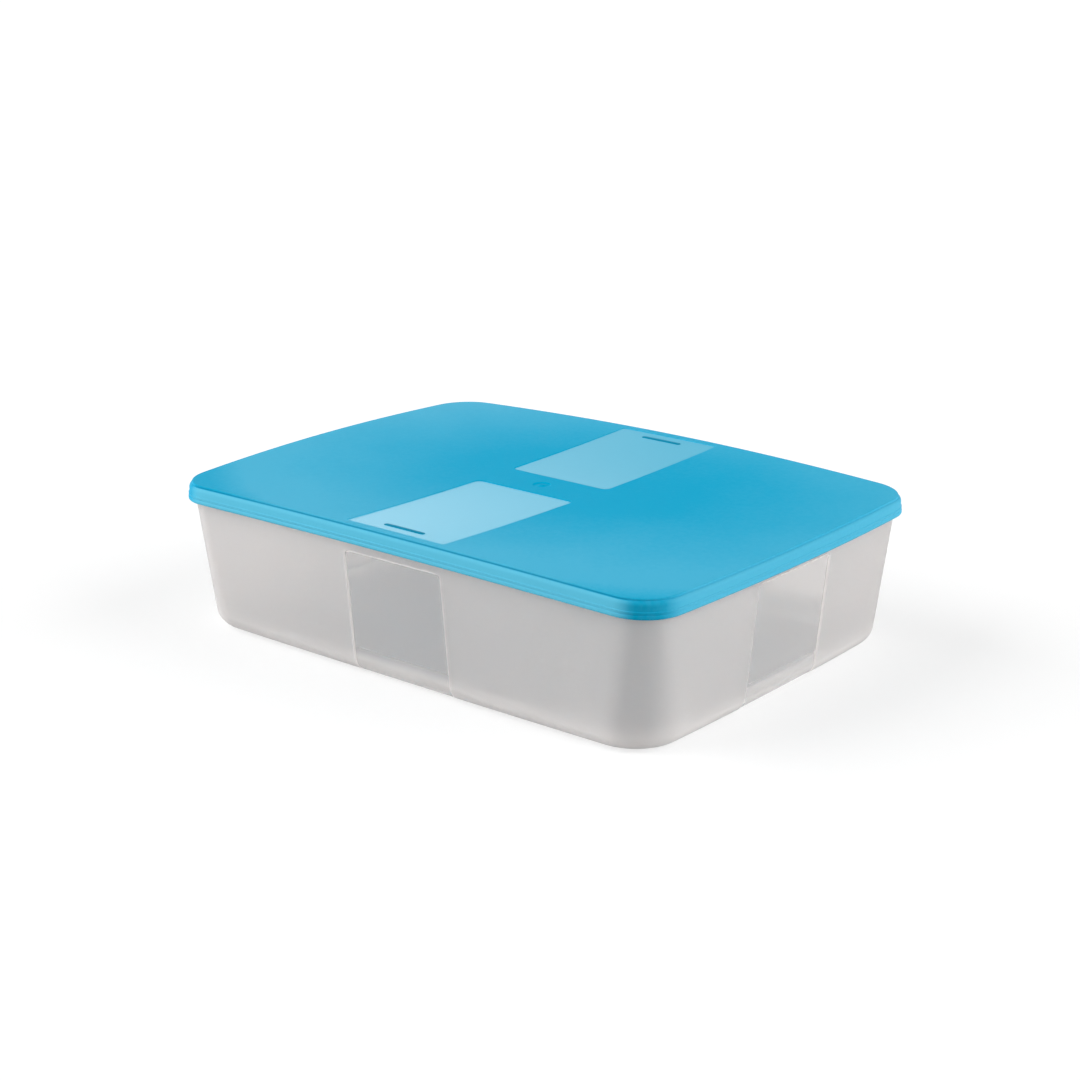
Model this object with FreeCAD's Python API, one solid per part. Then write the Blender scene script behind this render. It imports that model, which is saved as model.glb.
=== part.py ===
"""Shallow freezer container with a press-fit lid, in millimetres.

The frame's origin is on the table under the middle of the container, +X runs along its length and +Z is up.
"""
import FreeCAD, Part
import math
import os

V = FreeCAD.Vector
UP = V(0, 0, 1)

# Overall size
LENGTH = 300.0            # over the lid's lip, at the middle of the short sides
WIDTH = 225.0             # over the lid's lip, at the middle of the long sides
CORNER_HEIGHT = 73.8      # top of the lid's plate above the table, at the corners

# Outline of the lid's plate: four bowed sides and four round corners
LIP_REACH = 1.5           # how far the skirt's lip stands out past the plate
PLATE_HALF_X = LENGTH / 2 - LIP_REACH
PLATE_HALF_Y = WIDTH / 2 - LIP_REACH
BOW_SHORT = 5.8           # how far a short side bows out at its middle
BOW_LONG = 4.5            # the same for a long side
CORNER_RADIUS = 21.0

# Crown of the lid: heights above its corners
ARCH_LONG = 2.8           # at the middle of a long side
ARCH_SHORT = 1.2          # at the middle of a short side
DISH = 0.6                # in the middle of the plate
CROWN_REACH = 1.15        # the crown surface is made this much larger than the plate

# Lid in layers that follow the crown:
# outward from the plate's outline, upper and lower depth below the crown, round above and below
PLATE = (-0.45, 0.0, 1.8, 0.45, 0.0)        # its edge stands up inside the skirt's shoulder
SKIRT = (1.0, 0.75, 5.4, 2.5, 0.0)
BEAD = (1.35, 5.4, 6.4, 0.3, 0.3)
GROOVE = (1.1, 6.0, 7.05, 0.0, 0.0)
LIP = (LIP_REACH, 6.8, 8.9, 0.9, 0.7)

# What is hollowed out under the plate, given the same way, and the seal wall that goes inside the container
INNER_WALL = (-0.05, 1.8, 6.5, 0.8)
INNER_SNAP = (-0.45, 6.5, 7.8)
INNER_LIP = (-0.2, 7.8, 10.0)
SEAL = (-4.6, 1.0, 7.2, 0.0, 0.4)
SEAL_THICKNESS = 1.2

# Rim of the container, given the same way
RIM = (-0.85, 2.2, 5.4, 0.9, 0.0)
RIM_THICKNESS = 3.05
WALL_TOP_DEPTH = 3.6      # the wall ends inside the rim, this far below the crown

# Marks on the plate
LABEL_HALF_WIDTH = 29.5   # two polished fields for a label, across the middle of the plate
LABEL_INNER_Y = 12.9
LABEL_OUTER_Y = 105.8
LABEL_INNER_ROUND = 3.0
LABEL_OUTER_ROUND = 1.0
LABEL_DEPTH = 0.4
BAR_LENGTH = 24.0         # plain raised bar near the outer end of each field
BAR_WIDTH = 2.6
BAR_END_ROUND = 1.2
BAR_Y = 98.6
BAR_RISE = 0.3
GATE_RADIUS = 4.2         # moulding mark in the middle of the plate
GATE_DEPTH = 0.35
GATE_NUB_RADIUS = 1.3
GATE_NUB_RISE = 0.25
ROOT = 0.3                # raised marks start this far inside what they stand on

# Container: outlines of the outside at the table and under the skirt, and the wall between them
SKIRT_FOOT = 65.0         # height of the upper outline
TOP_HALF_X = PLATE_HALF_X - 2.0
TOP_HALF_Y = PLATE_HALF_Y - 2.0
TOP_CORNER = 19.0
BASE_HALF_X = 139.6
BASE_HALF_Y = 101.7
BASE_BOW_SHORT = 1.4
BASE_BOW_LONG = 0.3
BASE_CORNER = 27.0
WALL = 1.8
BASE_ROUND = 9.5          # outside, between the wall and the base
FLOOR_ROUND = 8.0         # inside, between the wall and the floor
FLOOR_HEIGHT = 2.6
WALL_REACH = 82.0         # the wall is drawn up to here, then trimmed

# Base
FOOT_INSET = 15.0         # the foot ring runs from the round to this far inside the base outline
FOOT_HEIGHT = 0.8
BASE_GATE_RADIUS = 3.5

# Polished window in the middle of each side
WINDOW_HALF_WIDTH = 29.5
WINDOW_BOTTOM = 0.8
WINDOW_TOP = 63.0
WINDOW_TOP_ROUND = 2.5
WINDOW_BASE_ROUND = 3.0
WINDOW_DEPTH = 0.7
WINDOW_BEVEL = 0.4        # width of the sloping border
WINDOW_PROUD = 0.6        # the cutter starts this far outside the wall
WINDOW_REACH = 8.0        # and goes this far in, to follow the round at the base

BEYOND = 60.0             # height of cutters that only have to be tall enough
SAME = 0.02               # points this close count as being at the same height


# Outlines

def outline_arcs(half_x, half_y, bow_short, bow_long, corner, offset=0.0):
    """Arcs (centre x, centre y, radius, start, end) once round, from the middle of the front side."""
    side_long = ((half_x - bow_short) ** 2 + bow_long ** 2) / (2 * bow_long)
    side_short = ((half_y - bow_long) ** 2 + bow_short ** 2) / (2 * bow_short)
    long_y = side_long - half_y
    short_x = half_x - side_short

    # The corner's centre lies where two circles about the side arcs' centres cross
    reach_long = side_long - corner
    reach_short = side_short - corner
    apart = math.hypot(short_x, long_y)
    along = (reach_long ** 2 - reach_short ** 2 + apart ** 2) / (2 * apart)
    aside = math.sqrt(reach_long ** 2 - along ** 2)
    step_x = short_x / apart
    step_y = -long_y / apart
    corner_x = along * step_x - aside * step_y
    corner_y = long_y + along * step_y + aside * step_x
    turn_long = math.atan2(corner_y - long_y, corner_x)
    turn_short = math.atan2(corner_y, corner_x - short_x)

    half_ring = [
        (0.0, long_y, side_long, -math.pi / 2, turn_long),
        (corner_x, corner_y, corner, turn_long, turn_short),
        (short_x, 0.0, side_short, turn_short, -turn_short),
        (corner_x, -corner_y, corner, -turn_short, -turn_long),
        (0.0, -long_y, side_long, -turn_long, math.pi / 2),
    ]
    ring = []
    for turn in (0.0, math.pi):
        way = math.cos(turn)
        for x, y, radius, start, end in half_ring:
            ring.append((way * x, way * y, radius + offset, start + turn, end + turn))
    return ring


def plate_arcs(offset=0.0):
    return outline_arcs(PLATE_HALF_X, PLATE_HALF_Y, BOW_SHORT, BOW_LONG, CORNER_RADIUS, offset)


def wall_arcs(height, offset=0.0):
    """Outside of the container at a height; everything changes evenly from the base to the skirt."""
    share = height / SKIRT_FOOT

    def between(base, top):
        return base + (top - base) * share

    return outline_arcs(
        between(BASE_HALF_X, TOP_HALF_X),
        between(BASE_HALF_Y, TOP_HALF_Y),
        between(BASE_BOW_SHORT, BOW_SHORT),
        between(BASE_BOW_LONG, BOW_LONG),
        between(BASE_CORNER, TOP_CORNER),
        offset,
    )


def flat_wire(arcs, height):
    edges = []
    for x, y, radius, start, end in arcs:
        circle = Part.Circle(V(x, y, height), UP, radius)
        edges.append(Part.ArcOfCircle(circle, start, end).toShape())
    return Part.Wire(edges)


def prism(wire, reach):
    return Part.Face(wire).extrude(reach)


def rounded_wire(corners, place):
    """Closed wire through corners (a, b, round), with an arc at each round one. place turns (a, b) into a point."""
    starts = []
    middles = []
    ends = []
    for i, (a, b, radius) in enumerate(corners):
        here = V(a, b, 0)
        before = V(corners[i - 1][0], corners[i - 1][1], 0) - here
        after_a, after_b, _ = corners[(i + 1) % len(corners)]
        after = V(after_a, after_b, 0) - here
        before.normalize()
        after.normalize()
        half_turn = before.getAngle(after) / 2
        run = radius / math.tan(half_turn)
        bisector = (before + after).normalize()
        starts.append(here + before * run)
        ends.append(here + after * run)
        middles.append(here + bisector * (radius / math.sin(half_turn) - radius))

    edges = []
    for i, (_, _, radius) in enumerate(corners):
        start, middle, end = (place(p.x, p.y) for p in (starts[i], middles[i], ends[i]))
        if radius:
            edges.append(Part.Arc(start, middle, end).toShape())
        following = starts[(i + 1) % len(corners)]
        edges.append(Part.makeLine(end, place(following.x, following.y)))
    return Part.Wire(edges)


# The crown that the lid and the rim share

def crown(x, y):
    u = (x / (PLATE_HALF_X - BOW_SHORT)) ** 2
    v = (y / (PLATE_HALF_Y - BOW_LONG)) ** 2
    return CORNER_HEIGHT + ARCH_LONG * (1 - u) * v + ARCH_SHORT * (1 - v) * u + DISH * (1 - u) * (1 - v)


def crown_slab(low, high):
    """Everything between two depths below the crown, which is a patch of second degree both ways."""
    reach_x = CROWN_REACH * PLATE_HALF_X
    reach_y = CROWN_REACH * PLATE_HALF_Y

    def bezier(first, middle, last):
        return first, 2 * middle - (first + last) / 2, last

    rows = []
    for x in (-reach_x, 0.0, reach_x):
        rows.append(bezier(*(crown(x, y) for y in (-reach_y, 0.0, reach_y))))
    columns = [bezier(*column) for column in zip(*rows)]

    patch = Part.BezierSurface()
    patch.increase(2, 2)
    for i, x in enumerate((-reach_x, 0.0, reach_x)):
        for j, y in enumerate((-reach_y, 0.0, reach_y)):
            patch.setPole(i + 1, j + 1, V(x, y, columns[j][i] - low))
    return patch.toShape().extrude(UP * (low - high))


def layer(offset, top, bottom, round_above=0.0, round_below=0.0, thickness=None):
    """The plate's outline, grown by an offset, between two depths below the crown: a slab, or a ring."""
    wire = flat_wire(plate_arcs(offset), CORNER_HEIGHT - BEYOND / 2)
    solid = prism(wire, UP * BEYOND).common(crown_slab(bottom, top))
    if thickness:
        hole = flat_wire(plate_arcs(offset - thickness), CORNER_HEIGHT - BEYOND / 2)
        solid = solid.cut(prism(hole, UP * BEYOND))
    for depth, radius in ((top, round_above), (bottom, round_below)):
        if radius:
            solid = solid.makeFillet(radius, edges_at(solid, depth))
    return solid


def edges_at(solid, depth):
    """Edges that run round the solid at a depth below the crown."""
    found = []
    for edge in solid.Edges:
        middle = edge.valueAt((edge.FirstParameter + edge.LastParameter) / 2)
        if abs(crown(middle.x, middle.y) - depth - middle.z) < SAME:
            found.append(edge)
    return found


# Lid

def block(corners):
    """A tall prism over an outline in the plan."""
    return prism(rounded_wire(corners, lambda x, y: V(x, y, CORNER_HEIGHT - BEYOND / 2)), UP * BEYOND)


def label_field(side):
    return block([
        (-LABEL_HALF_WIDTH, side * LABEL_INNER_Y, LABEL_INNER_ROUND),
        (LABEL_HALF_WIDTH, side * LABEL_INNER_Y, LABEL_INNER_ROUND),
        (LABEL_HALF_WIDTH, side * LABEL_OUTER_Y, LABEL_OUTER_ROUND),
        (-LABEL_HALF_WIDTH, side * LABEL_OUTER_Y, LABEL_OUTER_ROUND),
    ])


def label_bar(side):
    corners = []
    for x, y in ((-1, -1), (1, -1), (1, 1), (-1, 1)):
        corners.append((x * BAR_LENGTH / 2, side * BAR_Y + y * BAR_WIDTH / 2, BAR_END_ROUND))
    return block(corners)


def post(radius):
    return Part.makeCylinder(radius, BEYOND, V(0, 0, CORNER_HEIGHT - BEYOND / 2))


def make_lid():
    lid = layer(*PLATE)
    for part in (SKIRT, BEAD, GROOVE, LIP):
        lid = lid.fuse(layer(*part))
    for hollow in (INNER_WALL, INNER_SNAP, INNER_LIP):
        lid = lid.cut(layer(*hollow))
    lid = lid.fuse(layer(*SEAL, thickness=SEAL_THICKNESS))

    label_cut = crown_slab(LABEL_DEPTH, -BEYOND)
    bar_slab = crown_slab(LABEL_DEPTH + ROOT, LABEL_DEPTH - BAR_RISE)
    for side in (-1, 1):
        lid = lid.cut(label_field(side).common(label_cut))
        lid = lid.fuse(label_bar(side).common(bar_slab))

    lid = lid.cut(post(GATE_RADIUS).common(crown_slab(GATE_DEPTH, -BEYOND)))
    nub_slab = crown_slab(GATE_DEPTH + ROOT, GATE_DEPTH - GATE_NUB_RISE)
    return lid.fuse(post(GATE_NUB_RADIUS).common(nub_slab))


# Container

def drafted_block(floor, offset, rounding):
    """The container's outside as a solid, moved in or out, with a round along its lower edge."""
    lower = flat_wire(wall_arcs(floor, offset), floor)
    upper = flat_wire(wall_arcs(WALL_REACH, offset), WALL_REACH)
    solid = Part.makeLoft([lower, upper], True, True)
    base_edges = []
    for edge in solid.Edges:
        if edge.BoundBox.ZMax < floor + SAME:
            base_edges.append(edge)
    return solid.makeFillet(rounding, base_edges)


def window_cutter(base_reach, top_reach):
    """Cutter for a window in the side that faces +X, whose outside leans from base_reach to top_reach."""
    lean = math.atan2(top_reach - base_reach, SKIRT_FOOT)
    outward = V(math.cos(lean), 0, -math.sin(lean))
    upward = V(math.sin(lean), 0, math.cos(lean))
    foot = V(base_reach, 0, 0)
    bottom = WINDOW_BOTTOM / math.cos(lean)
    top = WINDOW_TOP / math.cos(lean)

    def border(grow, depth):
        corners = [
            (-WINDOW_HALF_WIDTH - grow, bottom - grow, WINDOW_BASE_ROUND + grow),
            (WINDOW_HALF_WIDTH + grow, bottom - grow, WINDOW_BASE_ROUND + grow),
            (WINDOW_HALF_WIDTH + grow, top + grow, WINDOW_TOP_ROUND + grow),
            (-WINDOW_HALF_WIDTH - grow, top + grow, WINDOW_TOP_ROUND + grow),
        ]
        return rounded_wire(corners, lambda y, rise: foot + V(0, y, 0) + upward * rise - outward * depth)

    slope = WINDOW_BEVEL / WINDOW_DEPTH
    mouth = border(WINDOW_PROUD * slope, -WINDOW_PROUD)
    bed = border(-WINDOW_BEVEL, WINDOW_DEPTH)
    return Part.makeLoft([mouth, bed], True, True).fuse(prism(bed, outward * -WINDOW_REACH))


def window_cutters():
    short_side = window_cutter(BASE_HALF_X, TOP_HALF_X)
    long_side = window_cutter(BASE_HALF_Y, TOP_HALF_Y)
    cutters = []
    for cutter, turn in ((short_side, 0), (long_side, 90), (short_side, 180), (long_side, 270)):
        cutter = cutter.copy()
        cutter.rotate(V(0, 0, 0), UP, turn)
        cutters.append(cutter)
    return cutters


def make_container():
    outside = drafted_block(0.0, 0.0, BASE_ROUND)
    inside = drafted_block(FLOOR_HEIGHT, -WALL, FLOOR_ROUND)
    walls = outside.cut(inside).cut(crown_slab(WALL_TOP_DEPTH, -BEYOND))
    container = walls.fuse(layer(*RIM, thickness=RIM_THICKNESS))

    window_bed = drafted_block(WINDOW_DEPTH, -WINDOW_DEPTH, BASE_ROUND - WINDOW_DEPTH)
    for cutter in window_cutters():
        container = container.cut(cutter.cut(window_bed))

    foot = flat_wire(wall_arcs(0.0, -FOOT_INSET), 0.0)
    container = container.cut(prism(foot, UP * FOOT_HEIGHT))
    return container.fuse(Part.makeCylinder(BASE_GATE_RADIUS, FOOT_HEIGHT, V(0, 0, FOOT_HEIGHT / 2)))


os.makedirs("parts", exist_ok=True)
for name, solid in (("container", make_container()), ("lid", make_lid())):
    solid = solid.removeSplitter().Solids[0]
    print(name, "valid", solid.isValid(), "faces", len(solid.Faces), "cm3", round(solid.Volume / 1000, 1))
    solid.exportStep("parts/" + name + ".step")
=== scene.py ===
"""Looks of the freezer container: its two mouldings, their plastics, the light and the camera.

Shapes are worked out in millimetres, in the frame of the CAD model, and become metres in make_piece.
"""

import math

import bmesh
import bpy
import numpy as np
from mathutils import Matrix, Vector
from mathutils.geometry import delaunay_2d_cdt


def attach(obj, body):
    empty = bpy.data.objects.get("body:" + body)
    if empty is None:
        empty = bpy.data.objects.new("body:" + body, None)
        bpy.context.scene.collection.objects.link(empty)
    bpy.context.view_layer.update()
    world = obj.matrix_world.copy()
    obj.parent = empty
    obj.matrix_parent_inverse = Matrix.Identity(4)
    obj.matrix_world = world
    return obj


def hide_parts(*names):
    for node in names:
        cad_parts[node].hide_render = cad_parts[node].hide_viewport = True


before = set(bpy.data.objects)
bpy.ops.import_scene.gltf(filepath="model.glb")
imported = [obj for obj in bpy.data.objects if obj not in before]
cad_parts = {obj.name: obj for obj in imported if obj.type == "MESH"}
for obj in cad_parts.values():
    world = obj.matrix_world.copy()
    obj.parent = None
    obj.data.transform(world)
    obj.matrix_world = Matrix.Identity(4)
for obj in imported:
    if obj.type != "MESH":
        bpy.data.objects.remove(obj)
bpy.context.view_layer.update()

MM = 0.001

# Outline of the lid's plate and the crown that the lid and the rim share
PLATE_HALF_X = 148.5
PLATE_HALF_Y = 111.0
BOW_SHORT = 5.8
BOW_LONG = 4.5
CORNER_RADIUS = 21.0
CORNER_HEIGHT = 73.8
ARCH_LONG = 2.8
ARCH_SHORT = 1.2
DISH = 0.6

# Section of the lid from the plate's edge round the skirt to the plate's underside.
# Each corner is (outward from the plate's outline, depth below the crown, round)
LID_SECTION = [
    (-1.4, 0.0, 0.0),
    (-0.45, 0.0, 0.45),
    (-0.45, 0.98, 0.05),    # step round the plate
    (0.95, 1.65, 2.3),      # shoulder
    (1.0, 5.3, 0.1),
    (1.35, 5.4, 0.25),      # bead
    (1.35, 6.3, 0.25),
    (1.18, 6.45, 0.08),     # groove
    (1.18, 6.95, 0.04),
    (1.5, 7.22, 0.8),       # lip
    (1.5, 8.9, 0.7),
    (-0.2, 8.9, 0.3),
    (-0.45, 7.8, 0.3),      # inner snap
    (-0.45, 6.7, 0.3),
    (-0.05, 6.3, 0.2),
    (-0.05, 1.8, 0.8),
    (-4.6, 1.8, 0.4),       # seal wall
    (-4.6, 7.2, 0.4),
    (-5.8, 7.2, 0.4),
    (-5.8, 1.8, 0.5),
    (-8.0, 1.8, 0.0),
]

# Painted light and shade in the lid's blue: deeper blue for shade, paler blue for sheen
STEP_DEEP = 0.75            # painted shade: how much deeper the blue is on the step, along the long sides
STEP_START = (0.3, 0.5)     # depths below the crown between which it gets deeper
STEP_FADE = 0.3             # depth over which that ends, below the step
SHORT_PALE = 0.55           # painted sheen: how pale the skirt is on the short sides, against 1 on the long ones
CORNER_WAY = (0.9, 0.995)   # larger part of the way out, from a corner in painted shade to a side with painted sheen
DEEP_X = 10.0               # the plate's blue is deepest about this point
DEEP_Y = 18.0

# Marks on the lid's plate
LABEL_HALF_WIDTH = 29.5
LABEL_INNER_Y = 12.9
LABEL_OUTER_Y = 105.8
LABEL_INNER_ROUND = 3.0
LABEL_OUTER_ROUND = 1.0
LABEL_STEP = [
    (0.5, 0.0), (0.20, 0.0), (0.06, 0.03), (0.0, 0.08),
    (-0.08, 0.32), (-0.14, 0.37), (-0.25, 0.4), (-0.5, 0.4),
]
LABEL_POLISH = (0.14, 0.25)     # distances inside the label's edge between which the polish comes in
BAR_LENGTH = 24.0
BAR_WIDTH = 2.6
BAR_END_ROUND = 1.25
BAR_Y = 98.6
BAR_STEP = [(0.4, 0.0), (0.12, 0.0), (0.0, -0.05), (-0.10, -0.25), (-0.25, -0.3)]
BAR_POLISH = (0.0, 0.12)        # the same outside the bar's edge
GATE_RADIUS = 4.2
GATE_STEP = [(0.7, 0.0), (0.3, 0.0), (0.1, 0.04), (-0.1, 0.3), (-0.4, 0.35)]
NUB_RADIUS = 1.3
NUB_STEP = [(0.2, 0.0), (-0.1, -0.2), (-0.4, -0.25)]
PLATE_GRID = 4.0
LEAST_ROUND = 0.05

# Container
SKIRT_FOOT = 65.0
TOP_HALF_X = PLATE_HALF_X - 2.0
TOP_HALF_Y = PLATE_HALF_Y - 2.0
TOP_CORNER = 19.0
BASE_HALF_X = 139.6
BASE_HALF_Y = 101.7
BASE_BOW_SHORT = 1.4
BASE_BOW_LONG = 0.3
BASE_CORNER = 27.0
WALL = 1.8
BASE_ROUND = 9.5
FLOOR_ROUND = 8.0
FLOOR_HEIGHT = 2.6
FOOT_INSET = 15.0
FOOT_HEIGHT = 0.8
BASE_GATE_RADIUS = 3.5
BASE_GATE_SLOPE = 0.1
WALL_TOP = 65.0             # above this the wall follows the crown
RIM_SECTION = [
    (-2.0, 5.9, 0.0),
    (-0.85, 5.3, 0.3),
    (-0.85, 2.2, 0.9),
    (-3.9, 2.2, 0.9),
    (-3.9, 5.0, 0.5),
    (-3.6, 6.0, 0.0),
]

# Polished window in the middle of each side
WINDOW_HALF_WIDTH = 29.5
WINDOW_BOTTOM = 0.8
WINDOW_TOP = 63.0
WINDOW_TOP_ROUND = 2.5
WINDOW_BASE_ROUND = 3.0
WINDOW_BEVEL = 0.4
WINDOW_STEP = [(0.0, 0.0), (-WINDOW_BEVEL, 0.7)]
WINDOW_NEAR = WINDOW_BEVEL * np.arange(-8, 3)
WINDOW_LINES = np.concatenate([np.arange(0.0, 25.0, 5.5), WINDOW_HALF_WIDTH + WINDOW_NEAR, [33.0]])
WINDOW_RISES = np.concatenate([np.arange(12.0, 58.0, 3.0), WINDOW_TOP + WINDOW_NEAR])
WINDOW_FADE = (1.0, 10.0)   # heights between which the recess comes in
WINDOW_FOOT_SHARE = 0.2     # share of its depth at the foot
PALE_FOOT = 13.0            # the thick round at the base is paler up to here
PALE_FOOT_SHARE = 0.5

# Colours
DEEP_BLUE = (0.0, 0.36, 0.59, 1)
PALE_BLUE = (0.06, 0.435, 0.65, 1)
# Painted reflection: the label fields' paler blue
LABEL_BLUE = (0.14, 0.575, 0.80, 1)
# Painted sheen: the paler blue on the skirt's sides
SKIRT_SHEEN_BLUE = (0.11, 0.52, 0.72, 1)
# Painted shade: deeper blue on the step round the plate, along the long sides, and on the bars
PAINTED_SHADE_BLUE = (0.0, 0.24, 0.40, 1)
FROST = (0.985, 0.955, 0.942, 1)

# Floor, as other rays find it and as it is seen
FLOOR_HALF = 40.0           # metres
FLOOR_MATT = (0.5, 0.35)
FLOOR_GLOW = (0.0, 0.68)

# Strengths of the sky and of the soft panel in it, and where the panel fades out
SKY = 0.06
PANEL = 1.05
PANEL_TOP = (0.25, 0.30)
PANEL_SIDE = (-0.58, -0.50)

# Fineness of the meshes
ROUND_STEPS = 5             # segments in each small round of a section
CORNER_STEPS = 16           # segments in each corner of an outline
SIDE_STEPS = 14             # segments along each half side beyond the window
BASE_ROUND_STEPS = 18
CIRCLE_STEPS = 40
SEAM = 0.005                # points this close are joined
SHARP_TURN = 50             # degrees between faces that meet in a sharp edge


# Outlines

def outline_arcs(half_x, half_y, bow_short, bow_long, corner):
    """Arcs (centre x, centre y, radius, start, end) from the middle of the front to that of the back."""
    side_long = ((half_x - bow_short) ** 2 + bow_long ** 2) / (2 * bow_long)
    side_short = ((half_y - bow_long) ** 2 + bow_short ** 2) / (2 * bow_short)
    long_y = side_long - half_y
    short_x = half_x - side_short
    reach_long = side_long - corner
    reach_short = side_short - corner
    apart = math.hypot(short_x, long_y)
    along = (reach_long ** 2 - reach_short ** 2 + apart ** 2) / (2 * apart)
    aside = math.sqrt(reach_long ** 2 - along ** 2)
    corner_x = (along * short_x + aside * long_y) / apart
    corner_y = long_y - (along * long_y - aside * short_x) / apart
    turn_long = math.atan2(corner_y - long_y, corner_x)
    turn_short = math.atan2(corner_y, corner_x - short_x)
    return [
        (0.0, long_y, side_long, -math.pi / 2, turn_long),
        (corner_x, corner_y, corner, turn_long, turn_short),
        (short_x, 0.0, side_short, turn_short, 0.0),
        (short_x, 0.0, side_short, 0.0, -turn_short),
        (corner_x, -corner_y, corner, -turn_short, -turn_long),
        (0.0, -long_y, side_long, -turn_long, math.pi / 2),
    ]


def ring(half_x, half_y, bow_short, bow_long, corner):
    """Points once round an outline, and the way out at each, in the same order for all rings."""
    points = []
    ways = []
    for x, y, radius, start, end in outline_arcs(half_x, half_y, bow_short, bow_long, corner):
        if radius == corner:
            turns = np.linspace(start, end, CORNER_STEPS + 1)
        else:
            middle = start if abs(math.remainder(start, math.pi / 2)) < 1e-9 else end
            last = abs(end - start)
            first = math.asin(WINDOW_LINES[-1] / radius)
            beyond = np.linspace(first, last, SIDE_STEPS + 1)[1:]
            spans = np.concatenate([np.arcsin(WINDOW_LINES / radius), beyond])
            turns = middle + spans if middle == start else (middle - spans)[::-1]
        way = np.stack([np.cos(turns), np.sin(turns)], 1)[:-1]
        points.append(np.array([x, y]) + radius * way)
        ways.append(way)
    points = np.concatenate(points)
    ways = np.concatenate(ways)
    return np.concatenate([points, -points]), np.concatenate([ways, -ways])


PLATE_RING, PLATE_WAYS = ring(PLATE_HALF_X, PLATE_HALF_Y, BOW_SHORT, BOW_LONG, CORNER_RADIUS)
BASE_RING, BASE_WAYS = ring(BASE_HALF_X, BASE_HALF_Y, BASE_BOW_SHORT, BASE_BOW_LONG, BASE_CORNER)
TOP_RING, TOP_WAYS = ring(TOP_HALF_X, TOP_HALF_Y, BOW_SHORT, BOW_LONG, TOP_CORNER)


def crown(x, y):
    u = (x / (PLATE_HALF_X - BOW_SHORT)) ** 2
    v = (y / (PLATE_HALF_Y - BOW_LONG)) ** 2
    return CORNER_HEIGHT + ARCH_LONG * (1 - u) * v + ARCH_SHORT * (1 - v) * u + DISH * (1 - u) * (1 - v)


def rounded_line(corners):
    """Points of a line through corners (a, b, round), with an arc at each round one."""
    points = []
    for i, (a, b, radius) in enumerate(corners):
        here = Vector((a, b))
        if not radius:
            points.append(here)
            continue
        before = (Vector(corners[i - 1][:2]) - here).normalized()
        after = (Vector(corners[(i + 1) % len(corners)][:2]) - here).normalized()
        half_turn = before.angle(after) / 2
        centre = here + (before + after).normalized() * (radius / math.sin(half_turn))
        start = here + before * (radius / math.tan(half_turn)) - centre
        end = here + after * (radius / math.tan(half_turn)) - centre
        sweep = start.angle(end)
        for k in range(ROUND_STEPS + 1):
            share = k / ROUND_STEPS
            blend = start * math.sin((1 - share) * sweep) + end * math.sin(share * sweep)
            points.append(centre + blend / math.sin(sweep))
    return np.array(points)


def rings_round(section):
    """Rings of a section that follows the crown."""
    rings = []
    for out, depth in rounded_line(section):
        plan = PLATE_RING + out * PLATE_WAYS
        rings.append(np.column_stack([plan, crown(plan[:, 0], plan[:, 1]) - depth]))
    return rings


# Meshes

def stitch(rings):
    """Points and four-sided faces between rings, each of which has the same number of points."""
    count = len(rings[0])
    faces = []
    for k in range(len(rings) - 1):
        for i in range(count):
            j = (i + 1) % count
            faces.append((k * count + i, (k + 1) * count + i, (k + 1) * count + j, k * count + j))
    return np.concatenate(rings), faces


def make_piece(name, body, node, parts, polish, pale):
    """A closed mesh from parts (points, faces), with shares of polish and paleness, in place of a CAD node."""
    points = []
    faces = []
    for part_points, part_faces in parts:
        start = sum(len(p) for p in points)
        points.append(part_points)
        faces += [tuple(start + i for i in face) for face in part_faces]
    points = np.concatenate(points)
    mesh = bpy.data.meshes.new(name)
    mesh.from_pydata((points * MM).tolist(), [], faces)
    for label, values in (("polish", polish), ("pale", pale)):
        layer = mesh.attributes.new(label, "FLOAT", "POINT")
        layer.data.foreach_set("value", values.astype(np.float32))
    piece = bpy.data.objects.new(name, mesh)
    bpy.context.scene.collection.objects.link(piece)
    close_seams(mesh)
    mesh.polygons.foreach_set("use_smooth", [True] * len(mesh.polygons))
    mesh.set_sharp_from_angle(angle=math.radians(SHARP_TURN))
    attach(piece, body)
    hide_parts(node)
    return piece


def close_seams(mesh):
    work = bmesh.new()
    work.from_mesh(mesh)
    bmesh.ops.remove_doubles(work, verts=work.verts, dist=SEAM * MM)
    bmesh.ops.recalc_face_normals(work, faces=work.faces)
    work.to_mesh(mesh)
    work.free()


# Lid

def box_distance(x, y, half_x, half_y, radius):
    """Signed distance from a rounded rectangle about the origin, negative inside."""
    across = np.abs(x) - half_x + radius
    along = np.abs(y) - half_y + radius
    outside = np.hypot(np.maximum(across, 0), np.maximum(along, 0))
    return outside + np.minimum(np.maximum(across, along), 0) - radius


def label_distance(x, y):
    middle = (LABEL_INNER_Y + LABEL_OUTER_Y) / 2
    half = (LABEL_OUTER_Y - LABEL_INNER_Y) / 2
    radius = np.where(np.abs(y) < middle, LABEL_INNER_ROUND, LABEL_OUTER_ROUND)
    return box_distance(x, np.abs(y) - middle, LABEL_HALF_WIDTH, half, radius)


def bar_distance(x, y):
    return box_distance(x, np.abs(y) - BAR_Y, BAR_LENGTH / 2, BAR_WIDTH / 2, BAR_END_ROUND)


def step_depth(distance, step):
    """Depth at a distance from a mark's outline. A step is (distance, depth) pairs, outermost first."""
    places, depths = zip(*reversed(step))
    return np.interp(distance, places, depths)


def plate_depth(x, y):
    middle = np.hypot(x, y)
    return (
        step_depth(label_distance(x, y), LABEL_STEP)
        + step_depth(bar_distance(x, y), BAR_STEP)
        + step_depth(middle - GATE_RADIUS, GATE_STEP)
        + step_depth(middle - NUB_RADIUS, NUB_STEP)
    )


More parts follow.
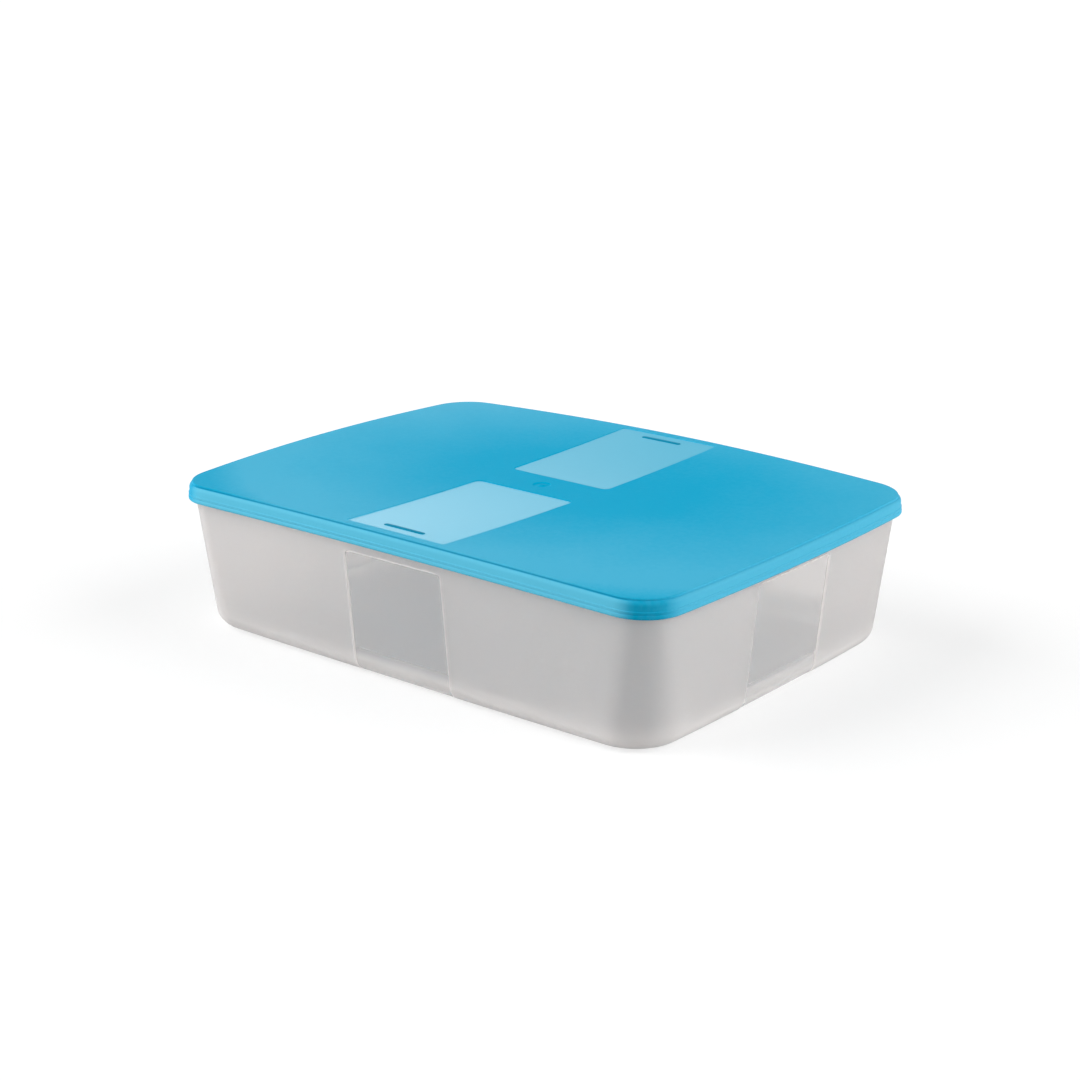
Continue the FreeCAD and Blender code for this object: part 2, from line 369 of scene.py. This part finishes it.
def box_loop(half_x, low, high, low_round, high_round, grow):
    """Rounded rectangle in the plan, moved out by grow."""
    corners = [
        (-half_x - grow, low - grow, max(low_round + grow, LEAST_ROUND)),
        (half_x + grow, low - grow, max(low_round + grow, LEAST_ROUND)),
        (half_x + grow, high + grow, max(high_round + grow, LEAST_ROUND)),
        (-half_x - grow, high + grow, max(high_round + grow, LEAST_ROUND)),
    ]
    return rounded_line(corners)


def circle_loop(radius):
    turns = np.arange(CIRCLE_STEPS) * math.tau / CIRCLE_STEPS
    return radius * np.stack([np.cos(turns), np.sin(turns)], 1)


def divided(loop):
    """A closed line with points added where they are further apart than the plate's grid."""
    points = []
    for here, there in zip(loop, np.roll(loop, -1, axis=0)):
        parts = math.ceil(math.dist(here, there) / PLATE_GRID)
        points.append(here + (there - here) * np.arange(parts)[:, None] / parts)
    return np.concatenate(points)


def mark_loops():
    """Closed lines on the plate, one at each step of each mark."""
    loops = []
    for side in (-1, 1):
        for grow, _ in LABEL_STEP:
            loop = box_loop(LABEL_HALF_WIDTH, LABEL_INNER_Y, LABEL_OUTER_Y, LABEL_INNER_ROUND,
                            LABEL_OUTER_ROUND, grow)
            loops.append(loop * [1, side])
        for grow, _ in BAR_STEP:
            loop = box_loop(BAR_LENGTH / 2, BAR_Y - BAR_WIDTH / 2, BAR_Y + BAR_WIDTH / 2, BAR_END_ROUND,
                            BAR_END_ROUND, grow)
            loops.append(loop * [1, side])
    loops += [circle_loop(GATE_RADIUS + grow) for grow, _ in GATE_STEP]
    loops += [circle_loop(NUB_RADIUS + grow) for grow, _ in NUB_STEP]
    return [divided(loop) for loop in loops]


def fill_plan(border, loops):
    """Triangles inside a border, along the loops and over an even grid."""
    clear = PLATE_GRID * 0.4
    across = np.arange(-PLATE_HALF_X, PLATE_HALF_X, PLATE_GRID) + PLATE_GRID / 2
    along = np.arange(-PLATE_HALF_Y, PLATE_HALF_Y, PLATE_GRID) + PLATE_GRID / 2
    grid = np.stack(np.meshgrid(across, along), -1).reshape(-1, 2)
    for line in [border, *loops]:
        near = np.min(np.hypot(*(grid[:, None] - line[None]).transpose(2, 0, 1)), 1)
        grid = grid[near > clear]
    x, y = grid.T
    grid = grid[np.abs(label_distance(x, y)) > clear] if loops else grid

    points = [Vector(p) for p in np.concatenate([border, *loops, grid])]
    edges = []
    start = 0
    for line in [border, *loops]:
        edges += [(start + i, start + (i + 1) % len(line)) for i in range(len(line))]
        start += len(line)
    inside = [list(range(len(border)))]
    found, _, triangles, *_ = delaunay_2d_cdt(points, edges, inside, 1, 1e-5)
    return np.array(found), triangles


def make_lid():
    rings = rings_round(LID_SECTION)
    skirt = stitch(rings)
    top_plan, top_faces = fill_plan(rings[0][:, :2], mark_loops())
    x, y = top_plan.T
    top = np.column_stack([top_plan, crown(x, y) - plate_depth(x, y)])
    under_plan, under_faces = fill_plan(rings[-1][:, :2], [])
    x, y = under_plan.T
    under = np.column_stack([under_plan, crown(x, y) - LID_SECTION[-1][1]])
    parts = [skirt, (top, top_faces), (under, under_faces)]

    x, y = top_plan.T
    label = np.interp(-label_distance(x, y), LABEL_POLISH, (0, 1))
    off_bar = np.interp(bar_distance(x, y), BAR_POLISH, (0, 1))
    polish = np.concatenate([np.zeros(len(skirt[0])), label * off_bar, np.zeros(len(under))])
    # Paleness: painted sheen on the skirt below the step, full on the long sides, less on the short ones and
    # none in the corners; negative for painted shade on the step along the long sides and on the bars
    on_bar = label * (1 - off_bar)
    drop = crown(*skirt[0][:, :2].T) - skirt[0][:, 2]
    short_side, long_side = np.tile(np.interp(np.abs(PLATE_WAYS), CORNER_WAY, (0, 1)), (len(rings), 1)).T
    step = LID_SECTION[2][1]
    step_end = (step, step + STEP_FADE)
    below_step = np.interp(drop, step_end, (0, 1))
    on_step = np.interp(drop, (*STEP_START, *step_end), (0, 1, 1, 0))
    skirt_pale = below_step * (long_side + SHORT_PALE * short_side) - on_step * STEP_DEEP * long_side
    pale = np.concatenate([skirt_pale, -on_bar, np.zeros(len(under))])
    return make_piece("lid_moulding", "lid", "lid", parts, polish, pale)


# Container

def wall_ring(height, inset):
    """The outside at a height, one for all points or one each, moved in by an inset."""
    share = np.broadcast_to(np.asarray(height) / SKIRT_FOOT, len(BASE_RING))[:, None]
    ways = BASE_WAYS + (TOP_WAYS - BASE_WAYS) * share
    ways = ways / np.linalg.norm(ways, axis=1, keepdims=True)
    return BASE_RING + (TOP_RING - BASE_RING) * share - inset * ways, ways


def base_rings(floor, inset, radius, dented):
    """Rings round the lower edge, from the flat of the base up to the wall."""
    upper, ways = wall_ring(floor + radius, inset)
    lower, _ = wall_ring(floor, inset)
    lean = np.arctan(np.sum((upper - lower) * ways, 1) / radius)
    rings = []
    for k in range(BASE_ROUND_STEPS + 1):
        turn = math.pi / 2 + (lean - math.pi / 2) * k / BASE_ROUND_STEPS
        out = radius * np.cos(turn) - radius / np.cos(lean)
        rise = floor + radius - radius * np.sin(turn)
        dent = window_dent(upper, rise) if dented else np.zeros(len(upper))
        out = out - dent * np.cos(turn)
        rise = rise + dent * np.sin(turn)
        rings.append(np.column_stack([upper + out[:, None] * ways, rise]))
    return rings


def along_side(plan):
    """How far a point of the wall is from the middle of its side."""
    on_short_side = np.abs(plan[:, 0]) / BASE_HALF_X > np.abs(plan[:, 1]) / BASE_HALF_Y
    return np.where(on_short_side, plan[:, 1], plan[:, 0])


def window_distance(plan, rise):
    """Signed distance from the window in the nearest side, measured on the wall."""
    middle = (WINDOW_TOP + WINDOW_BOTTOM) / 2
    half = (WINDOW_TOP - WINDOW_BOTTOM) / 2
    radius = np.where(rise > middle, WINDOW_TOP_ROUND, WINDOW_BASE_ROUND)
    return box_distance(along_side(plan), rise - middle, WINDOW_HALF_WIDTH, half, radius)


def window_dent(plan, rise):
    """Depth of the window's recess, which runs out towards the foot."""
    depth = step_depth(window_distance(plan, rise), WINDOW_STEP)
    return depth * np.interp(rise, WINDOW_FADE, (WINDOW_FOOT_SHARE, 1))


def wall_rings(inset, heights, top_depth, dented):
    rings = []
    for height in heights:
        plan, ways = wall_ring(height, inset)
        rise = np.full(len(plan), height)
        dent = window_dent(plan, rise)[:, None] if dented else 0.0
        rings.append(np.column_stack([plan - dent * ways, rise]))
    plan, _ = wall_ring(CORNER_HEIGHT - top_depth, inset)
    tops = crown(plan[:, 0], plan[:, 1]) - top_depth
    for share in (0.34, 0.67, 1.0):
        rise = WALL_TOP + (tops - WALL_TOP) * share
        plan, _ = wall_ring(rise, inset)
        rings.append(np.column_stack([plan, rise]))
    return rings


def make_container():
    heights = np.concatenate([WINDOW_RISES, [WALL_TOP]])
    foot_plan, _ = wall_ring(0.0, FOOT_INSET)
    count = len(foot_plan)
    foot_top = np.column_stack([foot_plan, np.full(count, FOOT_HEIGHT)])
    foot_edge = np.column_stack([foot_plan, np.zeros(count)])
    towards = foot_plan / np.linalg.norm(foot_plan, axis=1, keepdims=True)
    gate_inner = BASE_GATE_RADIUS - BASE_GATE_SLOPE
    gate_low = np.column_stack([towards * gate_inner, np.full(count, FOOT_HEIGHT / 2)])
    gate_high = np.column_stack([towards * BASE_GATE_RADIUS, np.full(count, FOOT_HEIGHT)])
    under = [gate_low, gate_high, foot_top, foot_edge]
    outside = under + base_rings(0.0, 0.0, BASE_ROUND, True)
    outside += wall_rings(0.0, heights, RIM_SECTION[0][1], True)
    inside = base_rings(FLOOR_HEIGHT, WALL, FLOOR_ROUND, False)
    inside += wall_rings(WALL, heights, RIM_SECTION[-1][1], False)
    shell = stitch(outside + rings_round(RIM_SECTION[1:-1]) + inside[::-1])
    points, faces = shell
    faces.append(tuple(range(count)))
    faces.append(tuple(range(len(points) - count, len(points)))[::-1])

    inset = -window_distance(points[:, :2], points[:, 2])
    inset[:len(under) * count] = -WINDOW_HALF_WIDTH     # the underside and the floor have no window
    inset[-count:] = -WINDOW_HALF_WIDTH
    polish = np.clip(inset / WINDOW_BEVEL - 1, 0, 1)
    bevel = np.clip(np.minimum(inset / WINDOW_BEVEL + 1, 2 - inset / WINDOW_BEVEL), 0, 1)
    foot = np.clip(2 * (1 - points[:, 2] / PALE_FOOT), 0, 1)
    pale = np.maximum(bevel, PALE_FOOT_SHARE * foot)
    return make_piece("container_moulding", "container", "container", [(points, faces)], polish, pale)


# Materials

def new_material(name):
    material = bpy.data.materials.new(name)
    material.use_nodes = True
    nodes = material.node_tree.nodes
    return material, nodes, material.node_tree.links, nodes["Principled BSDF"]


def share_node(nodes, name):
    node = nodes.new("ShaderNodeAttribute")
    node.attribute_name = name
    return node.outputs["Fac"]


def noise_node(nodes, links, place, scale, detail=3.0):
    node = nodes.new("ShaderNodeTexNoise")
    node.inputs["Scale"].default_value = scale
    node.inputs["Detail"].default_value = detail
    links.new(place, node.inputs["Vector"])
    return node.outputs["Fac"]


def map_node(nodes, links, value, low, high, start=0.0, end=1.0):
    node = nodes.new("ShaderNodeMapRange")
    node.inputs["From Min"].default_value = start
    node.inputs["From Max"].default_value = end
    node.inputs["To Min"].default_value = low
    node.inputs["To Max"].default_value = high
    links.new(value, node.inputs["Value"])
    return node.outputs["Result"]


def add_node(nodes, links, first, second):
    node = nodes.new("ShaderNodeMath")
    node.operation = "ADD"
    links.new(first, node.inputs[0])
    links.new(second, node.inputs[1])
    return node.outputs["Value"]


def mix_node(nodes, links, share, first, second):
    """Mix of a colour, or another node's colour, with a second colour."""
    node = nodes.new("ShaderNodeMix")
    node.data_type = "RGBA"
    if isinstance(first, tuple):
        node.inputs["A"].default_value = first
    else:
        links.new(first, node.inputs["A"])
    node.inputs["B"].default_value = second
    links.new(share, node.inputs["Factor"])
    return node.outputs["Result"]


def bump_node(nodes, links, height, strength, distance):
    node = nodes.new("ShaderNodeBump")
    node.inputs["Distance"].default_value = distance
    links.new(height, node.inputs["Height"])
    links.new(strength, node.inputs["Strength"])
    return node.outputs["Normal"]


def blue_plastic():
    material, nodes, links, shader = new_material("blue_plastic")
    place = nodes.new("ShaderNodeTexCoord").outputs["Object"]
    polish = share_node(nodes, "polish")
    pale = share_node(nodes, "pale")
    cloud = noise_node(nodes, links, place, 22.0)
    mottle = noise_node(nodes, links, place, 420.0)

    # Deep blue about a point near the gate, paler further out, which is painted sheen of the light on the matt
    # plate, and deep again in the corners, which is painted shade
    reach = nodes.new("ShaderNodeVectorMath")
    reach.operation = "MULTIPLY_ADD"
    reach.inputs[1].default_value = (1 / (PLATE_HALF_X * MM), 1 / (PLATE_HALF_Y * MM), 0)
    reach.inputs[2].default_value = (-DEEP_X / PLATE_HALF_X, -DEEP_Y / PLATE_HALF_Y, 0)
    links.new(place, reach.inputs[0])
    far = nodes.new("ShaderNodeVectorMath")
    far.operation = "LENGTH"
    links.new(reach.outputs["Vector"], far.inputs[0])
    edge_sheen = map_node(nodes, links, far.outputs["Value"], -0.35, 0.75, 0.4, 1.2)
    corner = map_node(nodes, links, far.outputs["Value"], 0.0, -1.0, 1.25, 1.4)
    uneven = map_node(nodes, links, cloud, 0.1, 0.6)
    speckle = map_node(nodes, links, mottle, -0.3, 0.3)
    broad = add_node(nodes, links, edge_sheen, corner)
    fine = add_node(nodes, links, uneven, speckle)
    tint = add_node(nodes, links, broad, fine)
    plain = mix_node(nodes, links, tint, DEEP_BLUE, PALE_BLUE)
    # The label fields' paler blue is painted reflection of the light, on top of the coat's own reflection
    label = mix_node(nodes, links, polish, plain, LABEL_BLUE)
    # Painted sheen on the skirt's sides, less on the short ones and none in its corners
    skirt = mix_node(nodes, links, pale, label, SKIRT_SHEEN_BLUE)
    # Painted shade on the step and the bars, where the paleness is negative
    painted_shade_share = map_node(nodes, links, pale, 1.0, 0.0, -1.0, 0.0)
    links.new(mix_node(nodes, links, painted_shade_share, skirt, PAINTED_SHADE_BLUE), shader.inputs["Base Color"])

    grain = noise_node(nodes, links, place, 1800.0, 2.0)
    gloss = map_node(nodes, links, polish, 0.40, 0.18)
    wear = map_node(nodes, links, mottle, -0.04, 0.04)
    links.new(add_node(nodes, links, gloss, wear), shader.inputs["Roughness"])
    strength = map_node(nodes, links, polish, 0.35, 0.03)
    links.new(bump_node(nodes, links, grain, strength, 0.0001), shader.inputs["Normal"])
    shader.inputs["IOR"].default_value = 1.52
    shader.inputs["Specular IOR Level"].default_value = 0.02
    links.new(map_node(nodes, links, polish, 0.0, 0.8), shader.inputs["Coat Weight"])
    shader.inputs["Coat Roughness"].default_value = 0.12
    return material


def frosted_plastic():
    material, nodes, links, shader = new_material("frosted_plastic")
    place = nodes.new("ShaderNodeTexCoord").outputs["Object"]
    polish = share_node(nodes, "polish")
    pale = share_node(nodes, "pale")
    cloud = noise_node(nodes, links, place, 16.0)
    grain = noise_node(nodes, links, place, 1500.0, 2.0)

    shader.inputs["Base Color"].default_value = FROST
    frost = map_node(nodes, links, polish, 0.50, 0.10)
    uneven = map_node(nodes, links, cloud, -0.04, 0.04)
    links.new(add_node(nodes, links, frost, uneven), shader.inputs["Roughness"])
    clear = map_node(nodes, links, polish, 0.72, 0.76)
    milky = map_node(nodes, links, pale, 0.0, -0.6)
    links.new(add_node(nodes, links, clear, milky), shader.inputs["Transmission Weight"])
    # The step round a window mirrors light back, as a polished edge of clear plastic does
    links.new(map_node(nodes, links, pale, 0.0, 0.65, 0.75, 1.0), shader.inputs["Metallic"])
    strength = map_node(nodes, links, polish, 0.25, 0.02)
    links.new(bump_node(nodes, links, grain, strength, 0.0001), shader.inputs["Normal"])
    shader.inputs["IOR"].default_value = 1.45
    return material


# Stage, light and camera

def seen_directly(nodes, links):
    """1 for rays that come straight, by reflection or through glass from the camera, else 0."""
    path = nodes.new("ShaderNodeLightPath")
    first = add_node(nodes, links, path.outputs["Is Camera Ray"], path.outputs["Is Glossy Ray"])
    total = add_node(nodes, links, first, path.outputs["Is Transmission Ray"])
    total.node.use_clamp = True
    return total


def make_floor():
    half = FLOOR_HALF
    mesh = bpy.data.meshes.new("floor")
    corners = [(-half, -half, 0), (half, -half, 0), (half, half, 0), (-half, half, 0)]
    mesh.from_pydata(corners, [], [(0, 1, 2, 3)])
    floor = bpy.data.objects.new("floor", mesh)
    bpy.context.scene.collection.objects.link(floor)

    material, nodes, links, shader = new_material("floor_white")
    nodes.remove(shader)
    seen = seen_directly(nodes, links)
    matt = nodes.new("ShaderNodeBsdfDiffuse")
    links.new(map_node(nodes, links, seen, *FLOOR_MATT), matt.inputs["Color"])
    glow = nodes.new("ShaderNodeEmission")
    links.new(map_node(nodes, links, seen, *FLOOR_GLOW), glow.inputs["Strength"])
    both = nodes.new("ShaderNodeAddShader")
    links.new(matt.outputs["BSDF"], both.inputs[0])
    links.new(glow.outputs["Emission"], both.inputs[1])
    links.new(both.outputs["Shader"], nodes["Material Output"].inputs["Surface"])
    floor.data.materials.append(material)


def make_world():
    """A plain dim sky, with a wide soft panel low on the left."""
    world = bpy.data.worlds.new("studio")
    bpy.context.scene.world = world
    world.use_nodes = True
    nodes = world.node_tree.nodes
    links = world.node_tree.links
    parts = nodes.new("ShaderNodeSeparateXYZ")
    links.new(nodes.new("ShaderNodeTexCoord").outputs["Generated"], parts.inputs["Vector"])
    low = map_node(nodes, links, parts.outputs["Z"], 1.0, 0.0, *PANEL_TOP)
    left = map_node(nodes, links, parts.outputs["X"], 1.0, 0.0, *PANEL_SIDE)
    panel = nodes.new("ShaderNodeMath")
    panel.operation = "MULTIPLY"
    links.new(low, panel.inputs[0])
    links.new(left, panel.inputs[1])
    strength = map_node(nodes, links, panel.outputs["Value"], SKY, PANEL)
    links.new(strength, nodes["Background"].inputs["Strength"])
    nodes["Background"].inputs["Color"].default_value = (1, 1, 1, 1)


def make_lamp(name, way, power, spread):
    """Soft light from a way, far enough to light the floor evenly."""
    lamp = bpy.data.lights.new(name, "SUN")
    lamp.energy = power
    lamp.angle = math.radians(spread)
    holder = bpy.data.objects.new(name, lamp)
    holder.location = way
    holder.rotation_euler = (-Vector(way)).to_track_quat("-Z", "Y").to_euler()
    bpy.context.scene.collection.objects.link(holder)


def make_camera():
    azimuth = math.radians(38.878)
    elevation = math.radians(17.831)
    roll = math.radians(0.1745)
    distance = 1.0441
    target = Vector((-0.00109, 0.0, 0.04598))
    level = math.cos(elevation)
    back = Vector((math.sin(azimuth) * level, -math.cos(azimuth) * level, math.sin(elevation)))
    right = Vector((0, 0, 1)).cross(back).normalized()
    up = back.cross(right)
    turned_right = math.cos(roll) * right + math.sin(roll) * up
    turned_up = math.cos(roll) * up - math.sin(roll) * right
    turn = Matrix((turned_right, turned_up, back)).transposed()

    lens = bpy.data.cameras.new("camera")
    lens.sensor_width = 36.0
    lens.lens = 71.13
    lens.clip_end = 100.0
    camera = bpy.data.objects.new("camera", lens)
    camera.matrix_world = Matrix.Translation(target + back * distance) @ turn.to_4x4()
    bpy.context.scene.collection.objects.link(camera)
    bpy.context.scene.camera = camera


lid = make_lid()
lid.data.materials.append(blue_plastic())

container = make_container()
container.data.materials.append(frosted_plastic())

make_floor()
make_world()
make_lamp("key", (-1.3, -1.0, 0.9), power=3.65, spread=60)
make_lamp("side", (1.3, 0.7, 0.65), power=3.3, spread=60)
make_camera()
bpy.context.scene.view_settings.view_transform = "Standard"
